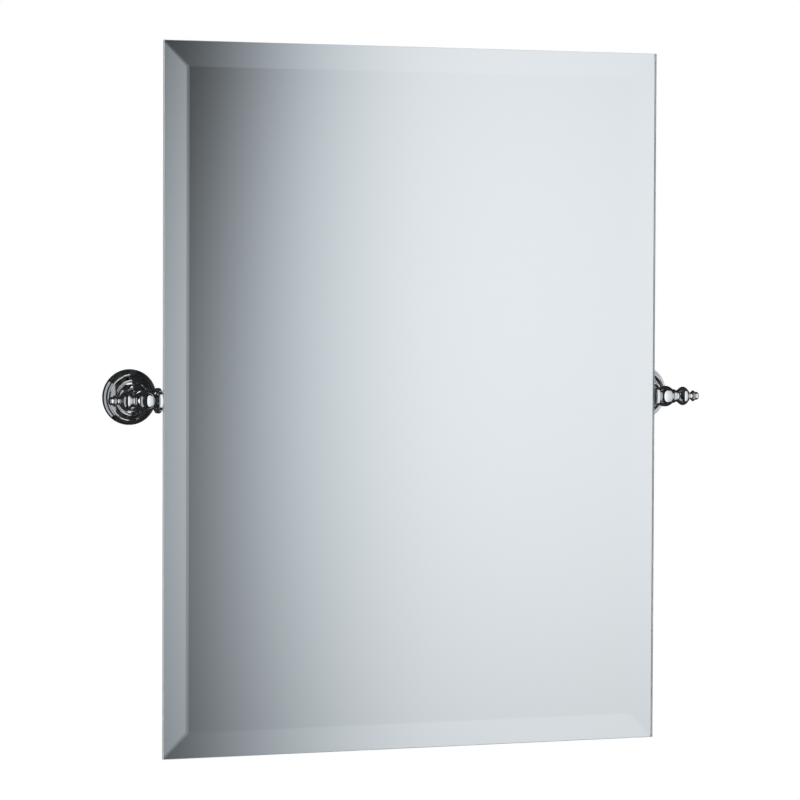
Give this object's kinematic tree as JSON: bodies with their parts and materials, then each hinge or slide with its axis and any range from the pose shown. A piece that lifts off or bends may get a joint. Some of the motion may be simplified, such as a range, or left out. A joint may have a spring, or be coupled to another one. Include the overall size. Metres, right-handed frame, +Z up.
{
  "type": "pivot wall mirror",
  "caption": "Frameless bevelled rectangular wall mirror that tilts between two turned chrome wall posts with round rosettes and finial knobs.",
  "frame": {"origin": "in the wall plane, at the height of the tilt axis, midway between the two posts", "axes": "+Z up, +Y into the wall, so the mirror faces -Y; +X to the viewer's right"},
  "size_m": [0.6418, 0.1163, 0.711],
  "materials": {
    "glass": "polished",
    "silver": "polished",
    "board": "matte",
    "foam": "matte",
    "chrome": "polished",
    "nylon": "satin",
    "steel": "brushed",
    "anchor_plastic": "matte"
  },
  "bodies": {
    "wall_side": {"rosette_left": "chrome", "post_left": "chrome", "post_screw_left": "steel", "post_washer_left": "steel", "grub_screw_left": "steel", "wall_plate_left": "steel", "wall_screw_upper_left": "steel", "wall_screw_lower_left": "steel", "wall_anchor_upper_left": "anchor_plastic", "wall_anchor_lower_left": "anchor_plastic", "friction_washer_inner_left": "nylon", "friction_washer_outer_left": "nylon", "rosette_right": "chrome", "post_right": "chrome", "post_screw_right": "steel", "post_washer_right": "steel", "grub_screw_right": "steel", "wall_plate_right": "steel", "wall_screw_upper_right": "steel", "wall_screw_lower_right": "steel", "wall_anchor_upper_right": "anchor_plastic", "wall_anchor_lower_right": "anchor_plastic", "friction_washer_inner_right": "nylon", "friction_washer_outer_right": "nylon"},
    "mirror": {"mirror_glass": "glass", "mirror_coating": "silver", "backing_board": "board", "mounting_tape_top": "foam", "mounting_tape_middle": "foam", "mounting_tape_bottom": "foam", "pivot_bracket_left": "steel", "pivot_stud_left": "steel", "spacer_sleeve_left": "steel", "pivot_disc_left": "chrome", "thrust_collar_left": "chrome", "bracket_screw_left_1": "steel", "bracket_screw_left_2": "steel", "bracket_screw_left_3": "steel", "bracket_screw_left_4": "steel", "pivot_bracket_right": "steel", "pivot_stud_right": "steel", "spacer_sleeve_right": "steel", "pivot_disc_right": "chrome", "thrust_collar_right": "chrome", "bracket_screw_right_1": "steel", "bracket_screw_right_2": "steel", "bracket_screw_right_3": "steel", "bracket_screw_right_4": "steel"},
    "finial_left": {"finial_knob_left": "chrome"},
    "finial_right": {"finial_knob_right": "chrome"}
  },
  "joints": [
    {"name": "mirror_tilt", "type": "hinge", "parent": "wall_side", "child": "mirror", "pos_m": [0, -0.0595, 0], "axis": [1, 0, 0], "range_deg": [-6.2, 9.8]},
    {"name": "finial_turn_left", "type": "hinge", "parent": "mirror", "child": "finial_left", "pos_m": [-0.2822, -0.0595, 0], "axis": [-1, 0, 0], "range_deg": [0, 360]},
    {"name": "finial_turn_right", "type": "hinge", "parent": "mirror", "child": "finial_right", "pos_m": [0.2822, -0.0595, 0], "axis": [1, 0, 0], "range_deg": [0, 360]}
  ]
}
